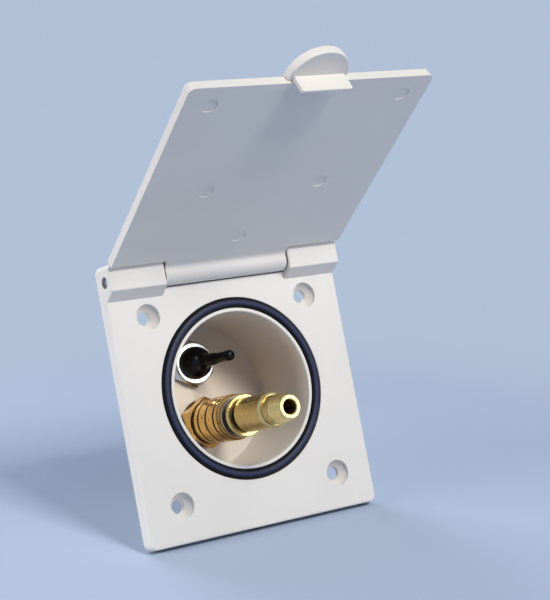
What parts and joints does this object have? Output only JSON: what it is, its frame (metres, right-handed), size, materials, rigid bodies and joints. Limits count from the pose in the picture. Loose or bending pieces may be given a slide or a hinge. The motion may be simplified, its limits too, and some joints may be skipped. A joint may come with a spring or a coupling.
{
  "type": "deck outlet box with hinged lid",
  "caption": "Square flush-mount deck outlet box with a hinged snap lid, sealed round cup, booted toggle switch and brass quick coupling with hose plug.",
  "frame": {"origin": "on the round cup's axis, at the flange's back (seat) face", "axes": "+X along the hinge, +Y into the deck or bulkhead along the cup's axis, +Z from the cup's axis towards the hinge"},
  "size_m": [0.11, 0.1874, 0.173],
  "materials": {
    "white_plastic": "semi-gloss white moulding",
    "seal_rubber": "smooth black",
    "boot_rubber": "soft satin black",
    "brass": "turned, bright",
    "nickel": "nickel plate, bright",
    "steel": "stainless, drawn",
    "case_plastic": "moulded black",
    "contact_brass": "stamped, tinned",
    "fibre": "vulcanised fibre"
  },
  "bodies": {
    "box": {"housing": "white_plastic", "lid_seal": "seal_rubber", "hinge_pin": "steel", "coupling_body": "brass", "coupling_gasket": "fibre", "coupling_back_washer": "brass", "coupling_back_nut": "brass", "supply_hose_tail": "brass", "plug_seal": "seal_rubber", "locking_balls": "steel", "sleeve_spring": "steel", "sleeve_stop_ring": "steel", "switch_bushing": "nickel", "switch_frame": "steel", "switch_case": "case_plastic", "switch_terminals": "contact_brass", "terminal_screws": "nickel", "switch_nut": "nickel", "keyed_washer": "nickel", "boot_gasket": "seal_rubber", "boot_nut": "nickel", "toggle_boot": "boot_rubber"},
    "lid": {"lid": "white_plastic"},
    "toggle": {"toggle_lever": "nickel", "lever_boot": "boot_rubber"},
    "rocker": {"contact_rocker": "contact_brass"},
    "sleeve": {"coupling_sleeve": "brass"},
    "plug": {"hose_plug": "brass"}
  },
  "joints": [
    {"name": "lid_hinge", "type": "hinge", "parent": "box", "child": "lid", "pos_m": [0, -0.007, 0.0505], "axis": [1, 0, 0], "range_deg": [0, 120]},
    {"name": "toggle_tilt", "type": "hinge", "parent": "box", "child": "toggle", "pos_m": [-0.0008, 0.0327, 0.0149], "axis": [0, 0, 1], "range_deg": [-28, 0]},
    {"name": "rocker_tilt", "type": "hinge", "parent": "box", "child": "rocker", "pos_m": [-0.0008, 0.04735, 0.0149], "axis": [0, 0, 1], "range_deg": [0, 16]},
    {"name": "sleeve_slide", "type": "slide", "parent": "box", "child": "sleeve", "axis": [0, 1, 0], "range_m": [0, 0.0025], "stiffness_N_per_m": 1500, "springref_m": -0.003, "deforming": ["sleeve_spring"]},
    {"name": "plug_pull", "type": "slide", "parent": "box", "child": "plug", "axis": [0, -1, 0], "range_m": [0, 0.3]}
  ],
  "couplings": [
    {"joint": "rocker_tilt", "follows": "toggle_tilt", "ratio": -0.57143},
    {"joint": "plug_pull", "follows": "lid_hinge", "m_per_rad": 0.14323}
  ]
}
